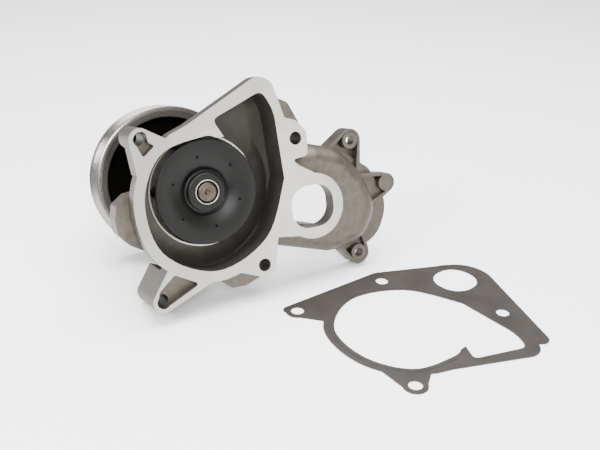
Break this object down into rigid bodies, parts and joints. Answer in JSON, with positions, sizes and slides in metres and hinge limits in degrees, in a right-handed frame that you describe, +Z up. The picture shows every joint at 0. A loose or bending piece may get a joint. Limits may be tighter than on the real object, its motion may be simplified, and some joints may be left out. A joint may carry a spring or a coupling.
{
  "type": "water pump",
  "caption": "Engine coolant pump with a cast scroll housing and thermostat bowl, dished impeller, ribbed belt pulley and a loose sealing gasket beside it.",
  "frame": {"origin": "bench surface under the middle of the whole set", "axes": "+Z up from the bench, -Y towards the side the sealing face looks at, +X towards the thermostat bowl; the shaft runs back and down from the sealing face, tipped 16 degrees from +Y"},
  "size_m": [0.257, 0.2668, 0.1479],
  "materials": {
    "casting": "as-cast aluminium with machined faces",
    "bearing_steel": "ground bearing steel",
    "shaft_steel": "ground steel",
    "insert_steel": "turned steel",
    "pulley_steel": "turned and plated steel",
    "stainless": "pressed stainless steel",
    "impeller": "moulded reinforced plastic",
    "rubber": "moulded nitrile rubber",
    "carbon": "lapped carbon",
    "ceramic": "lapped ceramic",
    "cage": "moulded polyamide",
    "gasket": "rubber-coated sheet steel"
  },
  "bodies": {
    "housing": {"pump_housing": "casting", "bearing_outer_ring": "bearing_steel", "bearing_seal_front": "rubber", "bearing_seal_rear": "rubber", "seal_cup": "stainless", "seal_carbon_ring": "carbon", "seal_bellows": "rubber", "seal_spring": "stainless", "gasket": "gasket"},
    "rotor": {"pump_shaft": "shaft_steel", "impeller": "impeller", "impeller_insert": "insert_steel", "seal_seat_ring": "ceramic", "seal_seat_boot": "rubber", "pulley": "pulley_steel"},
    "ball_row": {"ball_cage": "cage", "ball_1": "bearing_steel", "ball_2": "bearing_steel", "ball_3": "bearing_steel", "ball_4": "bearing_steel", "ball_5": "bearing_steel", "ball_6": "bearing_steel", "ball_7": "bearing_steel", "ball_8": "bearing_steel"},
    "roller_row": {"roller_cage": "cage", "roller_1": "bearing_steel", "roller_2": "bearing_steel", "roller_3": "bearing_steel", "roller_4": "bearing_steel", "roller_5": "bearing_steel", "roller_6": "bearing_steel", "roller_7": "bearing_steel", "roller_8": "bearing_steel"}
  },
  "joints": [
    {"name": "shaft_spin", "type": "hinge", "parent": "housing", "child": "rotor", "pos_m": [-0.06801, 0.06826, 0.06641], "axis": [0, 0.961, -0.2764], "continuous": true},
    {"name": "ball_row_spin", "type": "hinge", "parent": "housing", "child": "ball_row", "pos_m": [-0.06801, 0.06826, 0.06641], "axis": [0, 0.961, -0.2764], "continuous": true},
    {"name": "roller_row_spin", "type": "hinge", "parent": "housing", "child": "roller_row", "pos_m": [-0.06801, 0.08364, 0.06198], "axis": [0, 0.961, -0.2764], "continuous": true}
  ],
  "couplings": [
    {"joint": "ball_row_spin", "follows": "shaft_spin", "ratio": 0.3744},
    {"joint": "roller_row_spin", "follows": "shaft_spin", "ratio": 0.39593}
  ]
}
